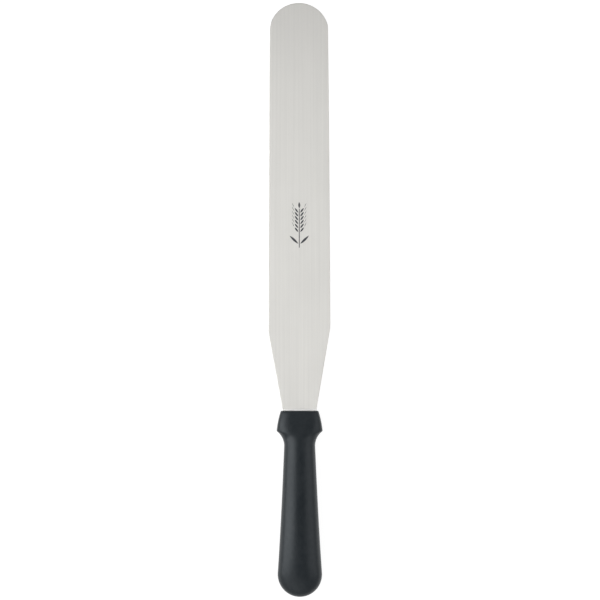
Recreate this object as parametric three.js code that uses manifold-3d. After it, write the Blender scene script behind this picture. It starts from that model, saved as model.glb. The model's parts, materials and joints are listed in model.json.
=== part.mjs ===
// Straight icing spatula with a moulded handle: one flat stainless-steel blade, round at the tip, whose hidden
// tang is locked inside a one-piece polypropylene handle. All sizes are in millimetres.
//
// The tool is drawn in its own axes first. +Y runs from the handle's mouth (y = 0) to the blade's tip, X is the
// width, and Z is the thickness, with z = 0 on the middle plane of the steel. It is then laid down the way it
// rests on a table, on the grip just behind its collar and on the end of its blade: the table is the plane
// Z = 0, and the origin is on the table under the middle of the tool's length.
import * as THREE from "three";
import { mergeVertices } from "three/addons/utils/BufferGeometryUtils.js";
import Module from "manifold-3d";

// The blade, outside the handle
const BLADE_LENGTH = 304.8; // from the handle's mouth to the tip: a 12 inch blade
const BLADE_THICKNESS = 1.0; // after grinding and brushing
const EDGE_ROUND = 0.3; // the rim is dressed, not sharp
const TIP_RADIUS = 22.3;
const TIP_HALF_WIDTH = 21.75; // where the tip's arc meets the two long edges
const TIP_EASE = { left: 4.5, right: 1.5 }; // the corners there are dressed by hand, one rounder than the other
const EDGE_BOW = 0.2; // the long edges swell outwards this much midway
const SHOULDER_HALF_WIDTH = 23.1;
const SHOULDER_Y = { left: 58.1, right: 62.0 }; // one shoulder is ground lower than the other
const SHOULDER_EASE = 3.0;
const HEEL_HALF_WIDTH = 12.7; // at the handle's mouth
const GROUND_FROM_Y = 1.4; // the grinding stops just short of the handle

// The tang: the same steel, still as rolled, inside the handle
const TANG_THICKNESS = 1.2;
const HEEL_DEPTH = 7.0; // how far the full-width heel goes into the handle
const TANG_HALF_WIDTH = 6.5;
const TANG_LENGTH = 102.0;
const TANG_ROOT_RADIUS = 3.0;
const TANG_END_RADIUS = 4.0;
const LOCK_HOLE_RADIUS = 2.5; // the plastic runs through these holes and locks the tang
const LOCK_HOLES_Y = [-26, -56, -86];

// The handle's outline, seen from above
const HANDLE_LENGTH = 139.1;
const FRONT_HALF_WIDTH = 14.0;
const FRONT_ROUND = 0.8;
const FLARE_BULGE = 0.36; // how far the collar's flanks swell past a straight line
const LIP_HALF_WIDTH = 17.1; // the widest place of the collar
const LIP_Y = -14.3;
const UNDERCUT_RADIUS = 13.6; // the hollow behind the lip, where the first finger lies
const UNDERCUT_ANGLE = THREE.MathUtils.degToRad(52); // of the hollow's wall under the lip, from the long axis
const WAIST_HALF_WIDTH = 11.54;
const WAIST_Y = -26.2;
const GRIP_SLOPE = { waist: 0.043, butt: 0.07 }; // how fast the half-width grows per millimetre of length
const BUTT_HALF_WIDTH = 16.55; // the widest place of the grip
const BUTT_LENGTH = 16.9; // from the widest place to the end

// The handle's profile, seen from the side: much calmer than its outline, so the lip fades towards the faces
const FRONT_HALF_HEIGHT = 6.2;
const COLLAR_HALF_HEIGHT = 7.6; // at the lip
const WAIST_HALF_HEIGHT = 8.5;
const BUTT_HALF_HEIGHT = 10.1;
const CROWN_Y = -106; // the thickest place of the grip
const BUTT_FULLNESS = 2.3; // exponent of the profile's curve past the crown: 2 is an ellipse

// The handle's section
const COLLAR_SQUARENESS = 4.0; // exponent of the section's superellipse: 2 is an ellipse
const GRIP_SQUARENESS = 2.25;
const SQUARE_TO_Y = -5.7; // from here on the section turns rounder
const BEHIND_LIP_Y = -21; // and here it has become the grip's
const LIP_SAG = 2.0; // how much further back the lip lies on the two faces than at the sides

const FIT_GAP = 0.3; // kept between the tang and the plastic around it
const CURVE_STEPS = 8; // steps in each curve of the handle's outline
const AROUND = 40; // steps around the handle's section

const buttY = BUTT_LENGTH - HANDLE_LENGTH;

const wasm = await Module();
wasm.setup();

function solidOf(geometry) {
  const bare = geometry.clone();
  bare.deleteAttribute("normal");
  bare.deleteAttribute("uv");
  const merged = mergeVertices(bare, 1e-4);
  return new wasm.Manifold(
    new wasm.Mesh({
      numProp: 3,
      vertProperties: merged.attributes.position.array,
      triVerts: new Uint32Array(merged.index.array),
    }),
  );
}

function geometryOf(solid) {
  const mesh = solid.getMesh();
  const geometry = new THREE.BufferGeometry();
  geometry.setAttribute("position", new THREE.BufferAttribute(mesh.vertProperties, 3));
  geometry.setIndex(new THREE.BufferAttribute(mesh.triVerts, 1));
  const faceted = geometry.toNonIndexed();
  faceted.computeVertexNormals();
  return faceted;
}

// Extrudes a shape drawn in the XY plane to a thickness centred on z = 0.
function plate(shape, thickness, edge = 0) {
  const geometry = new THREE.ExtrudeGeometry(shape, {
    depth: thickness - 2 * edge,
    bevelEnabled: edge > 0,
    bevelThickness: edge,
    bevelSize: edge,
    bevelOffset: -edge,
    bevelSegments: 2,
    curveSegments: 12,
  });
  return geometry.translate(0, 0, edge - thickness / 2);
}

// The point that lies `distance` from one point on the way to another.
function onTheWay(from, to, distance) {
  return to.clone().sub(from).setLength(distance).add(from);
}

// Turns the path at a corner with a curve that leaves the corner `ease` early and joins the next line as late.
function easedCorner(path, corner, next, ease) {
  const before = onTheWay(corner, path.currentPoint, ease);
  const after = onTheWay(corner, next, ease);
  path.lineTo(before.x, before.y);
  path.quadraticCurveTo(corner.x, corner.y, after.x, after.y);
}

// One side of the blade from its heel up to the end of the tip.
function bladeSide(side, shoulderY, tipEase) {
  const arcCentre = new THREE.Vector2(0, BLADE_LENGTH - TIP_RADIUS);
  const arcStart = Math.acos(TIP_HALF_WIDTH / TIP_RADIUS);
  const easedStart = arcStart + tipEase / TIP_RADIUS;
  const onArc = (angle) => new THREE.Vector2(Math.cos(angle), Math.sin(angle))
    .multiplyScalar(TIP_RADIUS).add(arcCentre);
  const tipCorner = onArc(arcStart);
  const tipStart = onArc(easedStart);
  const shoulder = new THREE.Vector2(SHOULDER_HALF_WIDTH, shoulderY);
  const swell = shoulder.clone().lerp(tipCorner, 0.5);
  swell.x += 2 * EDGE_BOW;
  const edgeEnd = onTheWay(tipCorner, swell, tipEase);

  const path = new THREE.Path();
  path.moveTo(HEEL_HALF_WIDTH, GROUND_FROM_Y);
  easedCorner(path, shoulder, swell, SHOULDER_EASE);
  path.quadraticCurveTo(swell.x, swell.y, edgeEnd.x, edgeEnd.y);
  path.quadraticCurveTo(tipCorner.x, tipCorner.y, tipStart.x, tipStart.y);
  path.absarc(arcCentre.x, arcCentre.y, TIP_RADIUS, easedStart, Math.PI / 2, false);
  return path.getPoints(12).map((point) => new THREE.Vector2(side * point.x, point.y));
}

function bladeShape() {
  const right = bladeSide(1, SHOULDER_Y.right, TIP_EASE.right);
  const left = bladeSide(-1, SHOULDER_Y.left, TIP_EASE.left);
  left.pop(); // both sides end at the same point of the tip
  return new THREE.Shape([...right, ...left.reverse()]);
}

// The steel inside the handle, grown outwards by `grow` all round, with its lock holes shrunk by as much.
function tangShape(frontY, grow) {
  const heelX = HEEL_HALF_WIDTH + grow;
  const tangX = TANG_HALF_WIDTH + grow;
  const stepY = -HEEL_DEPTH - grow;
  const endY = -TANG_LENGTH - grow;
  const root = TANG_ROOT_RADIUS - grow;
  const end = TANG_END_RADIUS + grow;
  const shape = new THREE.Shape();
  shape.moveTo(heelX, frontY);
  shape.lineTo(-heelX, frontY);
  shape.lineTo(-heelX, stepY);
  shape.lineTo(-tangX - root, stepY);
  shape.absarc(-tangX - root, stepY - root, root, Math.PI / 2, 0, true);
  shape.lineTo(-tangX, endY + end);
  shape.absarc(-tangX + end, endY + end, end, Math.PI, 1.5 * Math.PI, false);
  shape.absarc(tangX - end, endY + end, end, 1.5 * Math.PI, 2 * Math.PI, false);
  shape.lineTo(tangX, stepY - root);
  shape.absarc(tangX + root, stepY - root, root, Math.PI, Math.PI / 2, true);
  shape.lineTo(heelX, stepY);
  shape.closePath();
  for (const y of LOCK_HOLES_Y) {
    const hole = new THREE.Path();
    hole.absarc(0, y, LOCK_HOLE_RADIUS - grow, 0, 2 * Math.PI, true);
    shape.holes.push(hole);
  }
  return shape;
}

function bladeGeometry() {
  const ground = solidOf(plate(bladeShape(), BLADE_THICKNESS, EDGE_ROUND));
  const tang = solidOf(plate(tangShape(GROUND_FROM_Y + EDGE_ROUND, 0), TANG_THICKNESS));
  return geometryOf(ground.add(tang));
}

// Where a line through one point meets a line through another.
function crossing(point, along, other, otherAlong) {
  const between = other.clone().sub(point);
  return along.clone().multiplyScalar(between.cross(otherAlong) / along.cross(otherAlong)).add(point);
}

// Half the handle's outline, from the middle of its front face round to the end of its butt.
function handleOutline() {
  const front = new THREE.Vector2(FRONT_HALF_WIDTH, 0);
  const lip = new THREE.Vector2(LIP_HALF_WIDTH, LIP_Y);
  const flank = front.clone().lerp(lip, 0.5);
  flank.x += 2 * FLARE_BULGE;

  const hollow = new THREE.Vector2(WAIST_HALF_WIDTH + UNDERCUT_RADIUS, WAIST_Y);
  const onHollow = (angle) => new THREE.Vector2(-Math.cos(angle), Math.sin(angle))
    .multiplyScalar(UNDERCUT_RADIUS).add(hollow);
  const underLip = onHollow(UNDERCUT_ANGLE);
  const wallDirection = new THREE.Vector2(Math.sin(UNDERCUT_ANGLE), Math.cos(UNDERCUT_ANGLE));
  const lipCorner = crossing(lip, lip.clone().sub(flank), underLip, wallDirection);

  const gripStartAngle = Math.atan(GRIP_SLOPE.waist);
  const gripStart = onHollow(-gripStartAngle);
  const buttStartAngle = Math.atan(GRIP_SLOPE.butt * BUTT_LENGTH / BUTT_HALF_WIDTH);
  const gripEnd = new THREE.Vector2(
    BUTT_HALF_WIDTH * Math.cos(buttStartAngle),
    buttY + BUTT_LENGTH * Math.sin(buttStartAngle),
  );
  const reach = (gripStart.y - gripEnd.y) / 3;

  const path = new THREE.Path();
  path.moveTo(0, 0);
  easedCorner(path, front, flank, FRONT_ROUND);
  path.quadraticCurveTo(flank.x, flank.y, lip.x, lip.y);
  path.quadraticCurveTo(lipCorner.x, lipCorner.y, underLip.x, underLip.y);
  path.absarc(hollow.x, hollow.y, UNDERCUT_RADIUS, Math.PI - UNDERCUT_ANGLE, Math.PI + gripStartAngle, false);
  path.bezierCurveTo(
    gripStart.x + GRIP_SLOPE.waist * reach,
    gripStart.y - reach,
    gripEnd.x - GRIP_SLOPE.butt * reach,
    gripEnd.y + reach,
    gripEnd.x,
    gripEnd.y,
  );
  path.absellipse(0, buttY, BUTT_HALF_WIDTH, BUTT_LENGTH, buttStartAngle, -Math.PI / 2, true, 0);
  return path;
}

const { lerp, smoothstep } = THREE.MathUtils;

// How far the rounded edge of the front face lies inside the profile.
function frontEdge(y) {
  const across = Math.max(0, 1 + y / FRONT_ROUND);
  return FRONT_ROUND * (1 - Math.sqrt(1 - across * across));
}

function halfHeight(y) {
  if (y < CROWN_Y) {
    const pastCrown = (CROWN_Y - y) / (CROWN_Y + HANDLE_LENGTH);
    return BUTT_HALF_HEIGHT * Math.max(0, 1 - pastCrown ** BUTT_FULLNESS) ** (1 / BUTT_FULLNESS);
  }
  if (y < WAIST_Y) return lerp(WAIST_HALF_HEIGHT, BUTT_HALF_HEIGHT, smoothstep(-y, -WAIST_Y, -CROWN_Y));
  if (y < LIP_Y) return lerp(COLLAR_HALF_HEIGHT, WAIST_HALF_HEIGHT, smoothstep(-y, -LIP_Y, -WAIST_Y));
  return lerp(COLLAR_HALF_HEIGHT, FRONT_HALF_HEIGHT, (1 - y / LIP_Y) ** 2) - frontEdge(y);
}

function squareness(y) {
  return lerp(COLLAR_SQUARENESS, GRIP_SQUARENESS, smoothstep(-y, -SQUARE_TO_Y, -BEHIND_LIP_Y));
}

function sag(y) {
  return LIP_SAG * smoothstep(-y, 0, -LIP_Y) * (1 - smoothstep(-y, -LIP_Y, -BEHIND_LIP_Y));
}

// The outline turned about the tool's long axis, then every round section remade as its superellipse.
function handleGeometry() {
  const turned = new THREE.LatheGeometry(handleOutline().getPoints(CURVE_STEPS).reverse(), AROUND);
  const position = turned.attributes.position;
  const point = new THREE.Vector3();
  for (let i = 0; i < position.count; i++) {
    point.fromBufferAttribute(position, i);
    const radius = Math.hypot(point.x, point.z);
    if (radius < 1e-6) continue;
    const power = 2 / squareness(point.y);
    const across = Math.abs(point.x / radius) ** power;
    const up = Math.abs(point.z / radius) ** power;
    position.setXYZ(
      i,
      Math.sign(point.x) * radius * across,
      point.y - sag(point.y) * (1 - across ** 2),
      Math.sign(point.z) * halfHeight(point.y) * up,
    );
  }
  const pocket = plate(tangShape(FIT_GAP, FIT_GAP), TANG_THICKNESS + 2 * FIT_GAP);
  return geometryOf(solidOf(turned).subtract(solidOf(pocket)));
}

// How far the tool tips down to lie on its tip and on the lowest place of its handle.
function restAngle(handle) {
  const position = handle.attributes.position;
  let angle = 0;
  for (let i = 0; i < position.count; i++) {
    const drop = -BLADE_THICKNESS / 2 - position.getZ(i);
    angle = Math.max(angle, Math.atan2(drop, BLADE_LENGTH - position.getY(i)));
  }
  return angle;
}

const steel = new THREE.MeshStandardMaterial({ color: 0xd6d5d1, roughness: 0.35, metalness: 1.0 });
const plastic = new THREE.MeshStandardMaterial({ color: 0x25282a, roughness: 0.45, metalness: 0.0 });

const blade = new THREE.Mesh(bladeGeometry(), steel);
blade.name = "blade";
const handle = new THREE.Mesh(handleGeometry(), plastic);
handle.name = "handle";

const tool = new THREE.Group();
tool.add(blade, handle);
tool.rotation.x = -restAngle(handle.geometry);
const box = new THREE.Box3().setFromObject(tool, true);
const middle = box.getCenter(new THREE.Vector3());
tool.position.set(-middle.x, -middle.y, -box.min.z);

const spatula = new THREE.Group();
spatula.add(tool);

export default spatula;
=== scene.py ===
"""The looks of a straight icing spatula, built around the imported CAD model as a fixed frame.

The tool is drawn in its own axes, as a person would hold it: +Y runs from the handle's mouth (y = 0) to the
blade's tip, X is the width, and z = 0 is the middle plane of the steel. Each piece's mesh is then laid down
where the frame has it. All sizes are in metres. A few are a hair smaller than the CAD model's, so that the
finer curves here stay inside the box of its facets.
"""

import json
import math

import bmesh
import bpy
from mathutils import Matrix, Vector


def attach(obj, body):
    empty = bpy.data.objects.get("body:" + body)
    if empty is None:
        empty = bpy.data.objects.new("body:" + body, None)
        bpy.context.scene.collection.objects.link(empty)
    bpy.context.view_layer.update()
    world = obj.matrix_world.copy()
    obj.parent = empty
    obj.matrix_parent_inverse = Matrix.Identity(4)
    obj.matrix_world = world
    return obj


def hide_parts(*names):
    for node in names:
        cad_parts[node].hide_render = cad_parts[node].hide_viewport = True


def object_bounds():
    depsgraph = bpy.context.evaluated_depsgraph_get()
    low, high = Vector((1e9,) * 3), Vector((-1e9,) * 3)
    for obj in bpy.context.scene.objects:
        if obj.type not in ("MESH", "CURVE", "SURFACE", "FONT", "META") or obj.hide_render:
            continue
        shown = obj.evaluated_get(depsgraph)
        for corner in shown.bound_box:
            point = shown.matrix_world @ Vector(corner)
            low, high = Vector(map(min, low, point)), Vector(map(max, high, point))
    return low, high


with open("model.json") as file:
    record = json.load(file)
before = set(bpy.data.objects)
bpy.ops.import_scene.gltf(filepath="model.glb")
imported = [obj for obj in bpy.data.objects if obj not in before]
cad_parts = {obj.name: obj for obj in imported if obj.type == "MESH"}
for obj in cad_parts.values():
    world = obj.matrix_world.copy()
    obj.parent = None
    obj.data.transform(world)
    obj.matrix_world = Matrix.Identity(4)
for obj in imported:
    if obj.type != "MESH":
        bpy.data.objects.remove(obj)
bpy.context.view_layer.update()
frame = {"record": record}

MM = 0.001

# The blade, outside the handle
BLADE_LENGTH = 304.8 * MM
BLADE_THICKNESS = 1.0 * MM  # after grinding and brushing
TIP_RADIUS = 22.3 * MM
TIP_HALF_WIDTH = 21.75 * MM  # where the tip's arc meets the two long edges
EDGE_BOW = 0.2 * MM  # the long edges swell outwards this much midway
SHOULDER_HALF_WIDTH = 23.09 * MM
SHOULDER_EASE = 3.0 * MM
SIDES = {  # the two sides are dressed by hand and differ a little
    "right": {"shoulder_y": 62.0 * MM, "tip_ease": 1.5 * MM},
    "left": {"shoulder_y": 58.1 * MM, "tip_ease": 4.5 * MM},
}
HEEL_HALF_WIDTH = 12.7 * MM  # at the handle's mouth
RIM_RADIUS = 0.36 * MM
RIM_STEPS = 4
GROUND_FROM_Y = 1.4 * MM  # the grinding stops just short of the handle
MOUNT_Y = 150 * MM  # where the record's mount on the blade's top face is
GRIND_SLOPE = 0.1 * MM  # length of the step from the rolled steel down to the ground face
ON_THE_CUT = 0.001 * MM  # a point this near to a cut through the mesh lies on it

# The tang, inside the handle
TANG_THICKNESS = 1.2 * MM
HEEL_DEPTH = 7.0 * MM  # how far the full-width heel goes into the handle
TANG_HALF_WIDTH = 6.5 * MM
TANG_LENGTH = 102.0 * MM
TANG_ROOT_RADIUS = 3.0 * MM
TANG_END_RADIUS = 4.0 * MM
LOCK_HOLE_RADIUS = 2.5 * MM  # the plastic runs through these holes
LOCK_HOLES_Y = (-26 * MM, -56 * MM, -86 * MM)
MOULD_GAP = 0.04 * MM  # the shrink gap between the steel and the plastic

# The handle
HANDLE_LENGTH = 139.09 * MM
FRONT_HALF_WIDTH = 14.0 * MM
FRONT_ROUND = 0.8 * MM
FLARE_BULGE = 0.36 * MM  # how far the collar's flanks swell past a straight line
LIP_HALF_WIDTH = 17.1 * MM  # the widest place of the collar
LIP_Y = -14.3 * MM
UNDERCUT_RADIUS = 13.6 * MM  # the hollow behind the lip, for the first finger
UNDERCUT_ANGLE = math.radians(52)  # of the hollow's wall under the lip, from the long axis
WAIST_HALF_WIDTH = 11.54 * MM
WAIST_Y = -26.2 * MM
WAIST_SLOPE = 0.043  # how fast the half-width grows along the tool just behind the waist
BUTT_SLOPE = 0.07  # and where the grip meets the butt's arc
BUTT_HALF_WIDTH = 16.55 * MM  # the widest place of the grip
BUTT_LENGTH = 16.9 * MM  # from the widest place to the end
BUTT_Y = BUTT_LENGTH - HANDLE_LENGTH
FRONT_HALF_HEIGHT = 6.2 * MM
COLLAR_HALF_HEIGHT = 7.6 * MM  # at the lip
WAIST_HALF_HEIGHT = 8.48 * MM
BUTT_HALF_HEIGHT = 10.05 * MM
CROWN_Y = -106 * MM  # the thickest place of the grip
BUTT_FULLNESS = 2.3  # exponent of the profile's curve past the crown: 2 is an ellipse
COLLAR_SQUARENESS = 4.0  # exponent of the section's superellipse: 2 is an ellipse
GRIP_SQUARENESS = 2.25
LIP_SAG = 2.0 * MM  # how much further back the lip lies on the two faces than at the sides
SQUARE_TO_Y = -5.7 * MM  # from here on the section turns rounder
BEHIND_LIP_Y = -21 * MM  # and here it has become the grip's
SEAM_HEIGHT = 0.05 * MM  # the parting line of the mould, along both sides
SEAM_HALF_WIDTH = 0.16 * MM
SEAM_FULL_HEIGHT = 4 * MM  # where the handle is lower than this, towards the butt's end, the seam shrinks
BESIDE_SEAM = 2.5  # how far from the seam's middle the section's even steps start, in half-widths of the seam
QUARTER_STEPS = 22  # steps around a quarter of the section

# The etched sign: an ear of wheat lying along the blade
MARK_Y = 139 * MM  # the middle of its length
MARK_LENGTH = 34 * MM
MARK_DEPTH = 0.012 * MM  # how far it stands out of the steel, so that it can be seen
STEM_HALF_WIDTH = 0.3 * MM
EAR_START = 0.34  # as a share of the sign's length
LEAF_START = 0.08
LEAF = {"length": 9.0 * MM, "bulge": 1.7 * MM}
LEAF_OUT = 0.7 * MM  # from the stem's middle to the leaf's foot
LEAF_LEAN = 1.05  # how far it goes sideways for each step along the blade
GRAIN_PAIRS = 6
GRAIN_SPACING = 2.9 * MM
GRAIN = {"length": 4.4 * MM, "bulge": 1.25 * MM}
GRAIN_OUT = 0.75 * MM
GRAIN_LEAN = 0.75
TOP_GRAIN = {"length": 4.6 * MM, "bulge": 1.5 * MM}
TOP_GRAIN_GAP = 0.4 * MM
AWN = {"length": 4.0 * MM, "bulge": 0.3 * MM, "steps": 4}
AWN_FROM = 4.9 * MM  # from the grain's foot to the awn's
AWN_LEAN = 0.5

# Materials: colours are linear red, green, blue and alpha
MAP_SCALE = 2  # of the flat map over the blade, in units to a metre
STEEL_DARKER = (0.66, 0.648, 0.615, 1)
STEEL_LIGHTER = (0.727, 0.714, 0.678, 1)
# partly the rolled steel's own lighter finish, partly a painted highlight that stands in for the bright line
# just ahead of the handle
STEEL_ROLLED_AND_HIGHLIGHT = (0.85, 0.84, 0.815, 1)
PLASTIC_DARKER = (0.0018, 0.0053, 0.0078, 1)
PLASTIC_LIGHTER = (0.0092, 0.0127, 0.0152, 1)
PLASTIC_SHINE = (0.91, 0.96, 1.0, 1)
ETCHING_DARKER = (0.045, 0.047, 0.055, 1)
ETCHING_LIGHTER = (0.10, 0.10, 0.11, 1)
TABLE_DARKER = (0.19, 0.19, 0.19, 1)
TABLE_LIGHTER = (0.21, 0.21, 0.21, 1)
TABLE_GLOW = (1, 1, 1, 1)

# The studio
FLOOR_HALF_SIDE = 20
FLOOR_GAP = 0.02 * MM
SENSOR_WIDTH = 36  # this and the lens are in millimetres, as cameras have them
LENS = 200
FARTHEST_SEEN = 100
PICTURE_SIDE = 448.5 * MM
PICTURE_MIDDLE = (0.45 * MM, 82.79 * MM)  # in the tool's axes
CAMERA_ROLL = math.radians(-0.10)
ROOM_LOW = (0.55, 0.55, 0.55, 1)
ROOM_HIGH = (0.38, 0.38, 0.39, 1)
ROOM_HIGH_FROM = 0.9  # the height of a direction: 1 is straight up
CEILING = (0.10, 0.10, 0.11, 1)


# Outlines: lists of 2-D points

def quadratic(start, control, end, steps):
    """The points of a quadratic curve after its start."""
    points = []
    for i in range(1, steps + 1):
        t = i / steps
        points.append(start * (1 - t) ** 2 + control * 2 * t * (1 - t) + end * t * t)
    return points


def cubic(start, first, second, end, steps):
    """The points of a cubic curve after its start."""
    points = []
    for i in range(1, steps + 1):
        t = i / steps
        s = 1 - t
        points.append(start * s ** 3 + first * 3 * s * s * t + second * 3 * s * t * t + end * t ** 3)
    return points


def arc(centre, radii, start, end, steps):
    """The points of an elliptical arc after its start."""
    points = []
    for i in range(1, steps + 1):
        angle = start + (end - start) * i / steps
        points.append(centre + Vector((radii[0] * math.cos(angle), radii[1] * math.sin(angle))))
    return points


def straight(start, end, steps):
    """The points of a straight line after its start."""
    return [start.lerp(end, i / steps) for i in range(1, steps + 1)]


def on_the_way(start, end, distance):
    """The point at a distance from one point on the way to another."""
    return start + (end - start).normalized() * distance


def eased_corner(points, corner, following, ease, steps):
    """Goes on to a corner and round it: the curve leaves the corner early and joins the next line as late."""
    before = on_the_way(corner, points[-1], ease)
    after = on_the_way(corner, following, ease)
    points.append(before)
    points += quadratic(before, corner, after, steps)


def blade_side(shoulder_y, tip_ease):
    """One side of the steel, from the middle of the tang's end up to the blade's tip."""
    tang_end = Vector((TANG_HALF_WIDTH - TANG_END_RADIUS, TANG_END_RADIUS - TANG_LENGTH))
    root = Vector((TANG_HALF_WIDTH + TANG_ROOT_RADIUS, -HEEL_DEPTH - TANG_ROOT_RADIUS))
    tip_centre = Vector((0, BLADE_LENGTH - TIP_RADIUS))
    tip_start = math.acos(TIP_HALF_WIDTH / TIP_RADIUS)
    tip_corner = tip_centre + TIP_RADIUS * Vector((math.cos(tip_start), math.sin(tip_start)))
    eased_start = tip_start + tip_ease / TIP_RADIUS
    on_tip = tip_centre + TIP_RADIUS * Vector((math.cos(eased_start), math.sin(eased_start)))
    shoulder = Vector((SHOULDER_HALF_WIDTH, shoulder_y))
    swell = shoulder.lerp(tip_corner, 0.5) + Vector((2 * EDGE_BOW, 0))
    edge_end = on_the_way(tip_corner, swell, tip_ease)

    points = [Vector((0, -TANG_LENGTH))]
    points.append(Vector((tang_end.x, -TANG_LENGTH)))
    points += arc(tang_end, (TANG_END_RADIUS, TANG_END_RADIUS), -math.pi / 2, 0, steps=6)
    points += straight(points[-1], Vector((TANG_HALF_WIDTH, root.y)), steps=8)
    points += arc(root, (TANG_ROOT_RADIUS, TANG_ROOT_RADIUS), math.pi, math.pi / 2, steps=6)
    points.append(Vector((HEEL_HALF_WIDTH, -HEEL_DEPTH)))
    points.append(Vector((HEEL_HALF_WIDTH, GROUND_FROM_Y)))
    points += straight(points[-1], on_the_way(shoulder, points[-1], 2 * SHOULDER_EASE), steps=10)
    eased_corner(points, shoulder, swell, SHOULDER_EASE, steps=8)
    points += quadratic(points[-1], swell, edge_end, steps=48)
    points += quadratic(edge_end, tip_corner, on_tip, steps=6)
    points += arc(tip_centre, (TIP_RADIUS, TIP_RADIUS), eased_start, math.pi / 2, steps=28)
    return points


def blade_outline():
    """The whole closed outline of the steel; the two sides share the middle of the tang's end and the tip."""
    right = blade_side(**SIDES["right"])
    left = [Vector((-point.x, point.y)) for point in blade_side(**SIDES["left"])]
    return right + left[-2:0:-1]


def lock_holes():
    """Circles, drawn clockwise because they are holes."""
    radii = (LOCK_HOLE_RADIUS, LOCK_HOLE_RADIUS)
    return [arc(Vector((0, y)), radii, 2 * math.pi, 0, steps=24) for y in LOCK_HOLES_Y]


def pushed_out(loop, distance):
    """A closed outline moved outwards, or inwards with a negative distance; holes shrink as it grows.

    A corner moves along the middle of its angle, at most twice the distance where it is sharp.
    """
    moved = []
    for i, point in enumerate(loop):
        before = (point - loop[i - 1]).normalized()
        after = (loop[(i + 1) % len(loop)] - point).normalized()
        side = Vector((before.y + after.y, -before.x - after.x)).normalized()
        share = max(0.5, side.dot(Vector((after.y, -after.x))))
        moved.append(point + side * distance / share)
    return moved


# Meshes

def new_piece(name, bm, material):
    """Makes an object of a mesh drawn in the tool's axes, laid down where the frame has the tool."""
    bmesh.ops.recalc_face_normals(bm, faces=bm.faces)
    across_map = bm.loops.layers.uv.new("across")
    for face in bm.faces:
        for loop in face.loops:
            loop[across_map].uv = loop.vert.co.xy * MAP_SCALE
    bm.transform(tool_place())
    mesh = bpy.data.meshes.new(name)
    bm.to_mesh(mesh)
    bm.free()
    mesh.materials.append(material)
    piece = bpy.data.objects.new(name, mesh)
    bpy.context.scene.collection.objects.link(piece)
    return piece


def tool_place():
    """The matrix from the tool's axes to the frame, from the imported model's mount on the blade's top face."""
    mounts = {mount["name"]: mount for mount in frame["record"]["mounts"]}
    face = mounts["blade_top_face"]
    normal = Vector(face["axis"])
    tilt = Matrix.Rotation(-math.atan2(normal.y, normal.z), 4, "X")
    mount_point = Vector((0, MOUNT_Y, BLADE_THICKNESS / 2))
    return Matrix.Translation(Vector(face["pos_m"])) @ tilt @ Matrix.Translation(-mount_point)


def rounded_plate(bm, loops, thickness, rim):
    """A flat plate with a rounded rim; the first loop is its outline and the others are its holes."""
    profile = []
    for side in (1, -1):
        for i in range(RIM_STEPS + 1):
            share = i / RIM_STEPS if side < 0 else 1 - i / RIM_STEPS
            angle = math.pi / 2 * share
            height = thickness / 2 - rim + rim * math.sin(angle)
            profile.append((rim * (1 - math.cos(angle)), side * height))
    caps = ([], [])
    for loop in loops:
        rings = []
        for inset, z in profile:
            ring = [bm.verts.new((point.x, point.y, z)) for point in pushed_out(loop, -inset)]
            rings.append(ring)
        for upper, lower in zip(rings, rings[1:]):
            for i in range(len(loop)):
                face = bm.faces.new((upper[i - 1], upper[i], lower[i], lower[i - 1]))
                face.smooth = True
        for cap, ring in zip(caps, (rings[0], rings[-1])):
            cap += [bm.edges.get((ring[i - 1], ring[i])) for i in range(len(ring))]
    for cap in caps:
        bmesh.ops.triangle_fill(bm, use_beauty=True, edges=cap)


def make_blade(material):
    """The steel: ground outside the handle, as rolled inside it."""
    bm = bmesh.new()
    rounded_plate(bm, [blade_outline(), *lock_holes()], TANG_THICKNESS, RIM_RADIUS)
    for y in (GROUND_FROM_Y, GROUND_FROM_Y + GRIND_SLOPE):
        everything = [*bm.verts, *bm.edges, *bm.faces]
        bmesh.ops.bisect_plane(bm, geom=everything, dist=ON_THE_CUT, plane_co=(0, y, 0), plane_no=(0, 1, 0))
    for vertex in bm.verts:
        if vertex.co.y > GROUND_FROM_Y + GRIND_SLOPE / 2:
            vertex.co.z *= BLADE_THICKNESS / TANG_THICKNESS
    return new_piece("blade_steel", bm, material)


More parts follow.
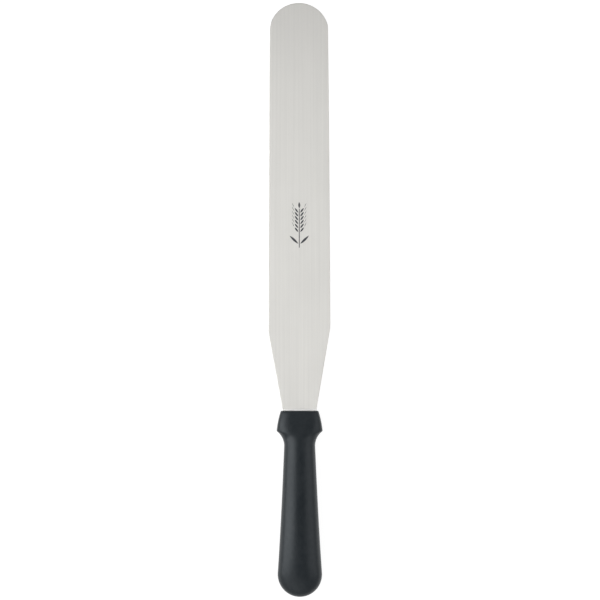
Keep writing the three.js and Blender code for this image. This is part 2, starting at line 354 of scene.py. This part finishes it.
def handle_outline():
    """Half the handle's outline, from its front face round the butt to the last point before the middle."""
    front = Vector((FRONT_HALF_WIDTH, 0))
    lip = Vector((LIP_HALF_WIDTH, LIP_Y))
    flank = front.lerp(lip, 0.5) + Vector((2 * FLARE_BULGE, 0))
    hollow = Vector((WAIST_HALF_WIDTH + UNDERCUT_RADIUS, WAIST_Y))
    hollow_start = math.pi - UNDERCUT_ANGLE
    hollow_end = math.pi + math.atan(WAIST_SLOPE)
    under_lip = hollow + UNDERCUT_RADIUS * Vector((math.cos(hollow_start), math.sin(hollow_start)))
    wall = Vector((math.sin(UNDERCUT_ANGLE), math.cos(UNDERCUT_ANGLE)))
    leaving = lip - flank
    lip_corner = lip + leaving * ((under_lip - lip).cross(wall) / leaving.cross(wall))
    butt_start = math.atan(BUTT_SLOPE * BUTT_LENGTH / BUTT_HALF_WIDTH)
    butt_radii = (BUTT_HALF_WIDTH, BUTT_LENGTH)
    grip_end = Vector((BUTT_HALF_WIDTH * math.cos(butt_start), BUTT_Y + BUTT_LENGTH * math.sin(butt_start)))

    start = front - Vector((FRONT_ROUND, 0))
    points = [start]
    points += quadratic(start, front, on_the_way(front, flank, FRONT_ROUND), steps=6)
    points += quadratic(points[-1], flank, lip, steps=14)
    points += quadratic(lip, lip_corner, under_lip, steps=10)
    points += arc(hollow, (UNDERCUT_RADIUS, UNDERCUT_RADIUS), hollow_start, hollow_end, steps=18)
    reach = (points[-1].y - grip_end.y) / 3
    leave = points[-1] + Vector((WAIST_SLOPE, -1)) * reach
    arrive = grip_end + Vector((-BUTT_SLOPE, 1)) * reach
    points += cubic(points[-1], leave, arrive, grip_end, steps=40)
    points += arc(Vector((0, BUTT_Y)), butt_radii, butt_start, -math.pi / 2, steps=26)
    return points[:-1]


def smoothstep(value, low, high):
    """Goes smoothly from 0 at the low value to 1 at the high one."""
    t = min(1.0, max(0.0, (value - low) / (high - low)))
    return t * t * (3 - 2 * t)


def mix(a, b, share):
    return a + (b - a) * share


def front_edge(y):
    """How far the rounded edge of the front face lies inside the profile."""
    across = max(0.0, 1 + y / FRONT_ROUND)
    return FRONT_ROUND * (1 - math.sqrt(1 - across * across))


def handle_half_height(y):
    """The profile from the side: calmer than the outline from above, so the lip fades towards the top."""
    if y < CROWN_Y:
        past_crown = (CROWN_Y - y) / (CROWN_Y + HANDLE_LENGTH)
        return BUTT_HALF_HEIGHT * max(0.0, 1 - past_crown ** BUTT_FULLNESS) ** (1 / BUTT_FULLNESS)
    if y < WAIST_Y:
        return mix(WAIST_HALF_HEIGHT, BUTT_HALF_HEIGHT, smoothstep(-y, -WAIST_Y, -CROWN_Y))
    if y < LIP_Y:
        return mix(COLLAR_HALF_HEIGHT, WAIST_HALF_HEIGHT, smoothstep(-y, -LIP_Y, -WAIST_Y))
    return mix(COLLAR_HALF_HEIGHT, FRONT_HALF_HEIGHT, (1 - y / LIP_Y) ** 2) - front_edge(y)


def handle_section(half_width, y):
    """The section's points at one place of the outline, once round from +X: a superellipse with a seam."""
    power = mix(COLLAR_SQUARENESS, GRIP_SQUARENESS, smoothstep(-y, -SQUARE_TO_Y, -BEHIND_LIP_Y))
    sag = LIP_SAG * smoothstep(-y, 0, -LIP_Y) * (1 - smoothstep(-y, -LIP_Y, -BEHIND_LIP_Y))
    half_height = handle_half_height(y)
    seam = SEAM_HALF_WIDTH * min(1.0, half_height / SEAM_FULL_HEIGHT)
    lifts = [0.0, seam / half_height]
    first = math.asin((BESIDE_SEAM * seam / half_height) ** (power / 2))
    for i in range(QUARTER_STEPS + 1):
        angle = mix(first, math.pi / 2, i / QUARTER_STEPS)
        lifts.append(math.sin(angle) ** (2 / power))
    quarter = []
    for lift in lifts:
        reach = max(0.0, 1 - lift ** power) ** (1 / power)
        quarter.append(Vector((half_width * reach, y - sag * (1 - reach * reach), half_height * lift)))
    quarter[0].x += SEAM_HEIGHT * seam / SEAM_HALF_WIDTH
    half = quarter + [Vector((-p.x, p.y, p.z)) for p in quarter[-2::-1]]
    return half + [Vector((p.x, p.y, -p.z)) for p in half[-2:0:-1]]


def make_handle(material):
    """The moulding, with the pocket that the tang fills."""
    bm = bmesh.new()
    rings = []
    for point in handle_outline():
        rings.append([bm.verts.new(p) for p in handle_section(point.x, point.y)])
    bm.faces.new(rings[0])
    for upper, lower in zip(rings, rings[1:]):
        for i in range(len(upper)):
            face = bm.faces.new((upper[i - 1], upper[i], lower[i], lower[i - 1]))
            face.smooth = True
    pole = bm.verts.new((0, -HANDLE_LENGTH, 0))
    for i in range(len(rings[-1])):
        face = bm.faces.new((rings[-1][i - 1], rings[-1][i], pole))
        face.smooth = True
    handle = new_piece("handle_moulding", bm, material)

    cutter = bmesh.new()
    loops = [pushed_out(loop, MOULD_GAP) for loop in (blade_outline(), *lock_holes())]
    rounded_plate(cutter, loops, TANG_THICKNESS + 2 * MOULD_GAP, RIM_RADIUS)
    pocket = new_piece("pocket_cutter", cutter, material)
    cut = handle.modifiers.new("pocket", "BOOLEAN")
    cut.operation = "DIFFERENCE"
    cut.solver = "EXACT"
    cut.object = pocket
    apply_modifiers(handle)
    bpy.data.objects.remove(pocket)
    return handle


def apply_modifiers(piece):
    """Makes what the piece's modifiers do its mesh."""
    graph = bpy.context.evaluated_depsgraph_get()
    mesh = bpy.data.meshes.new_from_object(piece.evaluated_get(graph))
    piece.modifiers.clear()
    piece.data = mesh


def pointed_oval(base, direction, length, bulge, steps=8):
    """A shape with two pointed ends, from its base along a direction."""
    along = direction.normalized()
    side = Vector((along.y, -along.x)) * bulge
    middle = base + along * length / 2
    tip = base + along * length
    return quadratic(base, middle + side, tip, steps) + quadratic(tip, middle - side, base, steps)


def wheat_ear():
    """The closed outlines of the sign: a stem with two leaves, pairs of grains with awns, a grain on top."""
    foot = MARK_Y - MARK_LENGTH / 2
    ear_from = foot + EAR_START * MARK_LENGTH
    ear_to = ear_from + GRAIN_SPACING * GRAIN_PAIRS
    stem = [
        Vector((STEM_HALF_WIDTH, foot)),
        Vector((STEM_HALF_WIDTH, ear_to)),
        Vector((-STEM_HALF_WIDTH, ear_to)),
        Vector((-STEM_HALF_WIDTH, foot)),
    ]
    outlines = [stem]
    for side in (1, -1):
        lean = Vector((side * GRAIN_LEAN, 1)).normalized()
        for i in range(GRAIN_PAIRS):
            base = Vector((side * GRAIN_OUT, ear_from + GRAIN_SPACING * i))
            outlines.append(pointed_oval(base, lean, **GRAIN))
            outlines.append(pointed_oval(base + lean * AWN_FROM, Vector((side * AWN_LEAN, 1)), **AWN))
        leaf_foot = Vector((side * LEAF_OUT, foot + LEAF_START * MARK_LENGTH))
        outlines.append(pointed_oval(leaf_foot, Vector((side * LEAF_LEAN, 1)), **LEAF))
    outlines.append(pointed_oval(Vector((0, ear_to + TOP_GRAIN_GAP)), Vector((0, 1)), **TOP_GRAIN))
    return outlines


def make_mark(material):
    """The sign as thin plates that start under the blade's surface and end just above it."""
    bm = bmesh.new()
    low = BLADE_THICKNESS / 2 - MARK_DEPTH / 2
    high = BLADE_THICKNESS / 2 + MARK_DEPTH
    for outline in wheat_ear():
        lower = [bm.verts.new((p.x, p.y, low)) for p in outline]
        upper = [bm.verts.new((p.x, p.y, high)) for p in outline]
        bm.faces.new(lower)
        bm.faces.new(upper)
        for i in range(len(outline)):
            bm.faces.new((lower[i - 1], lower[i], upper[i], upper[i - 1]))
    return new_piece("etched_sign", bm, material)


# Materials

class Nodes:
    """A short way to write a material's node tree."""

    def __init__(self, name):
        self.material = bpy.data.materials.new(name)
        self.material.use_nodes = True
        self.tree = self.material.node_tree
        self.shader = self.tree.nodes["Principled BSDF"]
        self.place = self.add("ShaderNodeTexCoord").outputs["Object"]

    def add(self, kind, inputs=None, **settings):
        """Adds a node; an input is a value or a link from another node's output."""
        node = self.tree.nodes.new(kind)
        for name, value in settings.items():
            setattr(node, name, value)
        for name, value in (inputs or {}).items():
            if isinstance(value, bpy.types.NodeSocket):
                self.tree.links.new(value, node.inputs[name])
            else:
                node.inputs[name].default_value = value
        return node

    def noise(self, stretch, detail):
        """Noise with so many waves per metre along each axis."""
        mapping = self.add("ShaderNodeMapping", {"Vector": self.place, "Scale": stretch})
        inputs = {"Vector": mapping.outputs["Vector"], "Scale": 1.0, "Detail": detail}
        return self.add("ShaderNodeTexNoise", inputs).outputs["Fac"]

    def spread(self, value, low, high):
        """Maps the middle of a 0 to 1 texture on to a range, and what lies beyond on to its ends."""
        inputs = {"Value": value, "From Min": 0.3, "From Max": 0.7, "To Min": low, "To Max": high}
        return self.add("ShaderNodeMapRange", inputs).outputs["Result"]

    def math(self, operation, a, b):
        return self.add("ShaderNodeMath", {0: a, 1: b}, operation=operation).outputs["Value"]

    def blend(self, share, a, b):
        """Blends two colours; each is a number for red, green, blue and alpha, or a link."""
        return self.add("ShaderNodeMix", {0: share, 6: a, 7: b}, data_type="RGBA").outputs[2]

    def bump(self, height, distance, under=None):
        """The normal of a relief, which may lie on another one."""
        inputs = {"Height": height, "Distance": distance}
        if under is not None:
            inputs["Normal"] = under
        return self.add("ShaderNodeBump", inputs).outputs["Normal"]

    def finish(self, **sockets):
        """Sets the shader's sockets: a number or colour as it is, a texture as a link."""
        for name, value in sockets.items():
            socket = self.shader.inputs[name.replace("_", " ")]
            if isinstance(value, bpy.types.NodeSocket):
                self.tree.links.new(value, socket)
            else:
                socket.default_value = value
        return self.material


def brushed_steel():
    """Stainless steel ground along its length: long fine lines, a few deeper ones, slow cloudiness, and a
    lighter band by the handle that is partly the rolled steel's own finish and partly a painted highlight.
    """
    nodes = Nodes("brushed_steel")
    fine = nodes.noise((5200, 14, 0), detail=3)
    lines = nodes.noise((700, 5, 0), detail=3)
    clouds = nodes.noise((45, 16, 0), detail=2)
    share = nodes.math("ADD", nodes.spread(lines, 0.1, 0.7), nodes.spread(clouds, 0, 0.3))
    ground = nodes.blend(share, STEEL_DARKER, STEEL_LIGHTER)
    place_on_blade = nodes.add("ShaderNodeUVMap", uv_map="across").outputs["UV"]
    along = nodes.add("ShaderNodeSeparateXYZ", {"Vector": place_on_blade}).outputs["Y"]
    # the rolled band by the handle is painted lighter: partly its own finish, partly a painted highlight for
    # the bright line there, against the handle's shade
    rolled = nodes.math("LESS_THAN", along, MAP_SCALE * GROUND_FROM_Y)
    colour = nodes.blend(rolled, ground, STEEL_ROLLED_AND_HIGHLIGHT)
    roughness = nodes.math("ADD", nodes.spread(fine, 0.40, 0.46), nodes.spread(clouds, -0.02, 0.02))
    relief = nodes.bump(lines, 0.002 * MM, under=nodes.bump(fine, 0.0015 * MM))
    across = nodes.add("ShaderNodeTangent", direction_type="UV_MAP", uv_map="across").outputs["Tangent"]
    return nodes.finish(
        Base_Color=colour,
        Metallic=1.0,
        Roughness=roughness,
        Normal=relief,
        Anisotropic=0.9,
        Tangent=across,
    )


def moulded_plastic():
    """Black polypropylene: the fine grain of an eroded mould, a faint ripple, a mottling of faint scuffs."""
    nodes = Nodes("moulded_plastic")
    grain = nodes.noise((2000, 2000, 2000), detail=2)
    ripple = nodes.noise((330, 260, 330), detail=3)
    patches = nodes.noise((60, 35, 60), detail=3)
    scuffs = nodes.math("ADD", nodes.spread(ripple, 0, 0.8), nodes.spread(patches, 0, 0.2))
    colour = nodes.blend(scuffs, PLASTIC_DARKER, PLASTIC_LIGHTER)
    roughness = nodes.math("ADD", nodes.spread(patches, 0.34, 0.40), nodes.spread(grain, -0.02, 0.03))
    relief = nodes.bump(grain, 0.018 * MM, under=nodes.bump(ripple, 0.06 * MM))
    return nodes.finish(
        Base_Color=colour,
        Roughness=roughness,
        Normal=relief,
        IOR=1.51,
        Specular_Tint=PLASTIC_SHINE,
    )


def dark_etching():
    """The oxide that electrolytic marking leaves: dull, and a little uneven."""
    nodes = Nodes("dark_etching")
    speckle = nodes.noise((3000, 1500, 0), detail=3)
    colour = nodes.blend(nodes.spread(speckle, 0, 1), ETCHING_DARKER, ETCHING_LIGHTER)
    return nodes.finish(Base_Color=colour, Metallic=0.4, Roughness=nodes.spread(speckle, 0.5, 0.62))


def white_floor():
    """A lit white table, bright enough to lose the tool's shadow."""
    nodes = Nodes("white_floor")
    haze = nodes.noise((3, 3, 0), detail=2)
    colour = nodes.blend(haze, TABLE_DARKER, TABLE_LIGHTER)
    return nodes.finish(
        Base_Color=colour,
        Roughness=0.9,
        Specular_IOR_Level=0.1,
        Emission_Color=TABLE_GLOW,
        Emission_Strength=0.92,
    )


# The studio

def make_floor():
    """A square of the table's top, a hair under the tool."""
    bm = bmesh.new()
    bmesh.ops.create_grid(bm, x_segments=1, y_segments=1, size=FLOOR_HALF_SIDE)
    mesh = bpy.data.meshes.new("floor")
    bm.to_mesh(mesh)
    bm.free()
    mesh.materials.append(white_floor())
    floor = bpy.data.objects.new("floor", mesh)
    bpy.context.scene.collection.objects.link(floor)
    floor.location.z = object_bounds()[0].z - FLOOR_GAP


def make_camera():
    """Square on to the blade, with its tip at the top and the handle at the bottom of the square picture."""
    data = bpy.data.cameras.new("camera")
    data.sensor_width = SENSOR_WIDTH
    data.lens = LENS
    data.clip_end = FARTHEST_SEEN
    camera = bpy.data.objects.new("camera", data)
    bpy.context.scene.collection.objects.link(camera)
    place = Vector((*PICTURE_MIDDLE, PICTURE_SIDE * LENS / SENSOR_WIDTH))
    roll = Matrix.Rotation(CAMERA_ROLL, 4, "Z")
    camera.matrix_world = tool_place() @ Matrix.Translation(place) @ roll
    bpy.context.scene.camera = camera


def softbox(name, place, size, radiance, colour=(1, 1, 1)):
    """A flat light of a given brightness, turned to the tool; its size is its width and then its height."""
    data = bpy.data.lights.new(name, "AREA")
    data.shape = "RECTANGLE"
    data.size, data.size_y = size
    data.energy = radiance * math.pi * size[0] * size[1]
    data.color = colour
    light = bpy.data.objects.new(name, data)
    bpy.context.scene.collection.objects.link(light)
    light.location = place
    light.rotation_euler = Vector(place).to_track_quat("Z", "Y").to_euler()


def make_lights():
    """A large soft light on the left, which brightens the whole blade, and two weaker ones."""
    softbox(
        "left_softbox",
        place=(-0.865, 0.0, 0.835),
        size=(0.84, 1.36),
        radiance=2.28,
        colour=(0.985, 0.995, 1.0),
    )
    softbox("right_softbox", place=(0.8, -0.03, 0.85), size=(1.0, 0.9), radiance=0.7)
    softbox("near_softbox", place=(-0.5, -0.85, 0.92), size=(1.4, 0.8), radiance=0.6)


def make_world():
    """A pale room with a darker ceiling."""
    world = bpy.data.worlds.new("room")
    world.use_nodes = True
    tree = world.node_tree
    coordinates = tree.nodes.new("ShaderNodeTexCoord")
    split = tree.nodes.new("ShaderNodeSeparateXYZ")
    ramp = tree.nodes.new("ShaderNodeValToRGB")
    tree.links.new(coordinates.outputs["Generated"], split.inputs["Vector"])
    tree.links.new(split.outputs["Z"], ramp.inputs["Fac"])
    tree.links.new(ramp.outputs["Color"], tree.nodes["Background"].inputs["Color"])
    ramp.color_ramp.elements[0].position = 0.0
    ramp.color_ramp.elements[0].color = ROOM_LOW
    ramp.color_ramp.elements[1].position = 1.0
    ramp.color_ramp.elements[1].color = CEILING
    ramp.color_ramp.elements.new(ROOM_HIGH_FROM).color = ROOM_HIGH
    bpy.context.scene.world = world


def build_tool():
    """Makes the three pieces, hangs each on the root body, and hides the CAD model's own blade and handle."""
    blade = make_blade(brushed_steel())
    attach(blade, "root")
    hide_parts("blade")
    handle = make_handle(moulded_plastic())
    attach(handle, "root")
    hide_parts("handle")
    mark = make_mark(dark_etching())
    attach(mark, "root")


build_tool()
make_floor()
make_camera()
make_lights()
make_world()
bpy.context.scene.view_settings.view_transform = "Standard"
